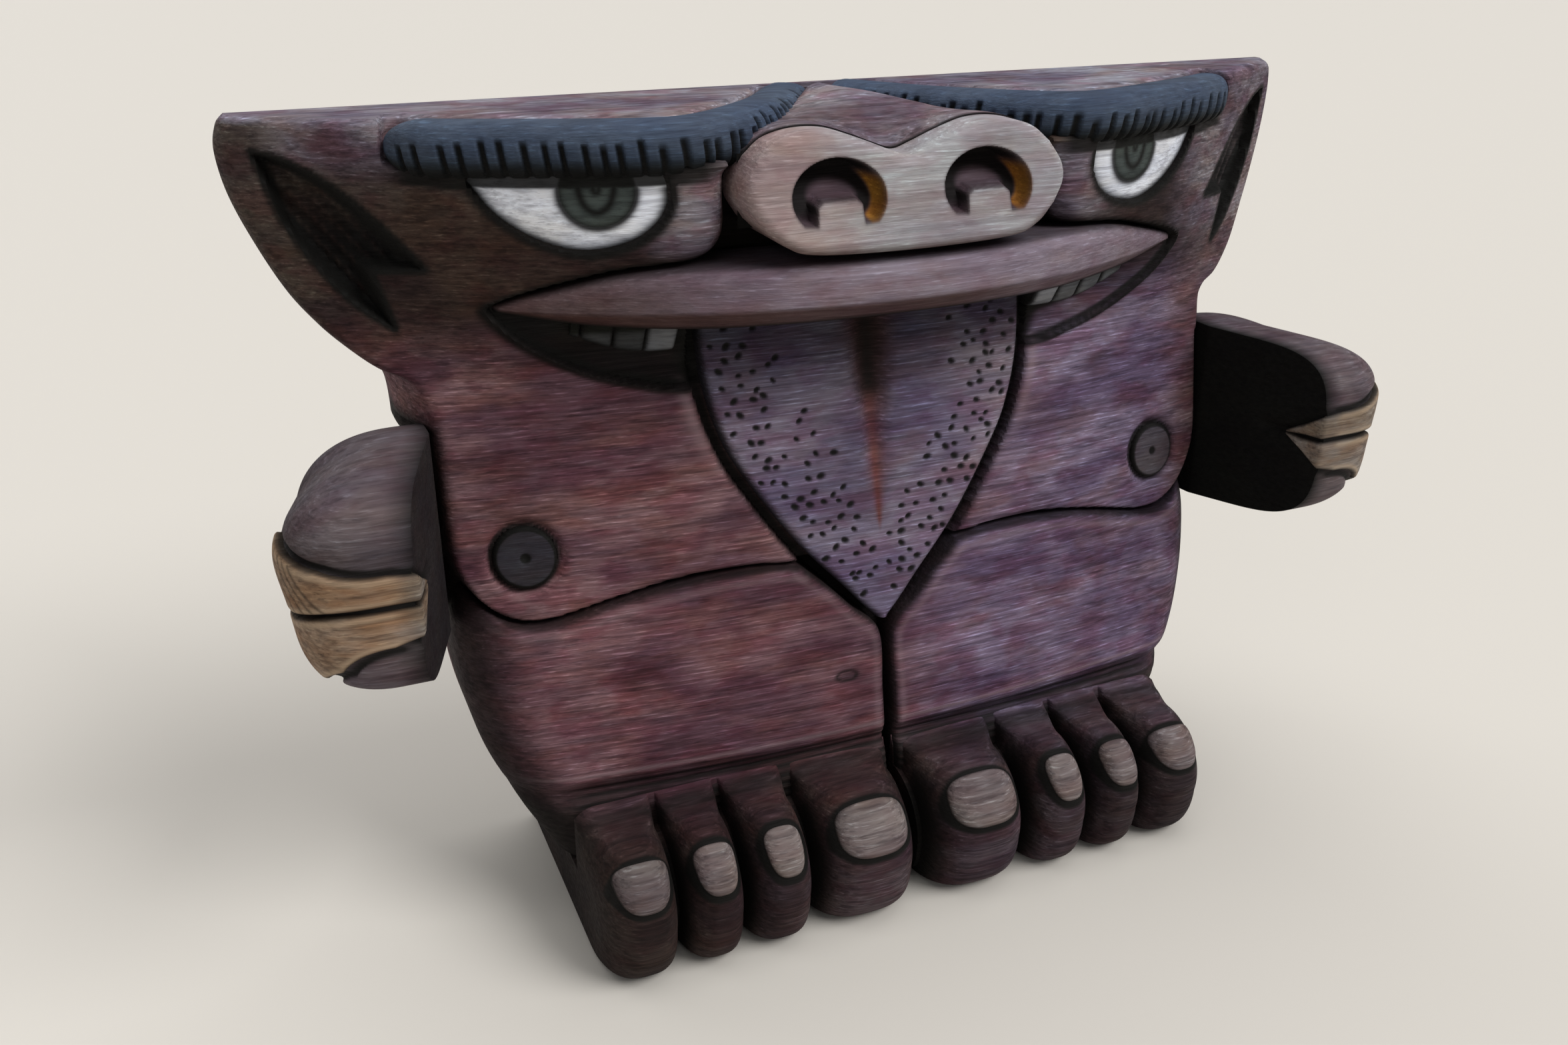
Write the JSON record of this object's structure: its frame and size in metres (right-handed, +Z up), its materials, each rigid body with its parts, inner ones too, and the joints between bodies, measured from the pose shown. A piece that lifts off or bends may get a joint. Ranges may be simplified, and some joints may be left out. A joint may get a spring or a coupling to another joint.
{
  "type": "carved gremlin card holder",
  "caption": "Small carved wooden gremlin that stands on its own feet and holds a stack of upright cards between its palms.",
  "frame": {"origin": "on the standing surface, under the middle of the figure's box", "axes": "+X to the right as seen from the front, +Y to the flat back, +Z up"},
  "size_m": [0.1226, 0.036, 0.0845],
  "materials": {
    "stained_block": "matte stain",
    "stained_skin": "matte stain",
    "pale_stain": "matte stain",
    "violet_stain": "matte stain",
    "white_paint": "thin flat paint on wood",
    "slate_stain": "matte stain",
    "grey_stain": "matte stain",
    "tan_wood": "oiled",
    "nail_wood": "oiled",
    "dowel_wood": "bare"
  },
  "bodies": {
    "root": {"body_block": "stained_block", "brow_left": "slate_stain", "brow_right": "slate_stain", "eye_left": "white_paint", "eye_right": "white_paint", "finger_lower_left": "tan_wood", "finger_lower_right": "tan_wood", "finger_upper_left": "tan_wood", "finger_upper_right": "tan_wood", "foot_dowel_left": "dowel_wood", "foot_dowel_right": "dowel_wood", "foot_left": "stained_skin", "foot_right": "stained_skin", "hand_dowel_left": "dowel_wood", "hand_dowel_right": "dowel_wood", "hand_left": "grey_stain", "hand_right": "grey_stain", "leg_left": "stained_skin", "leg_right": "stained_skin", "nipple_left": "grey_stain", "nipple_right": "grey_stain", "nose_bridge": "stained_block", "snout": "pale_stain", "snout_dowel": "dowel_wood", "teeth_left": "white_paint", "teeth_right": "white_paint", "toenail_1_left": "nail_wood", "toenail_1_right": "nail_wood", "toenail_2_left": "nail_wood", "toenail_2_right": "nail_wood", "toenail_3_left": "nail_wood", "toenail_3_right": "nail_wood", "toenail_4_left": "nail_wood", "toenail_4_right": "nail_wood", "tongue": "violet_stain", "upper_lip": "pale_stain"}
  },
  "joints": []
}
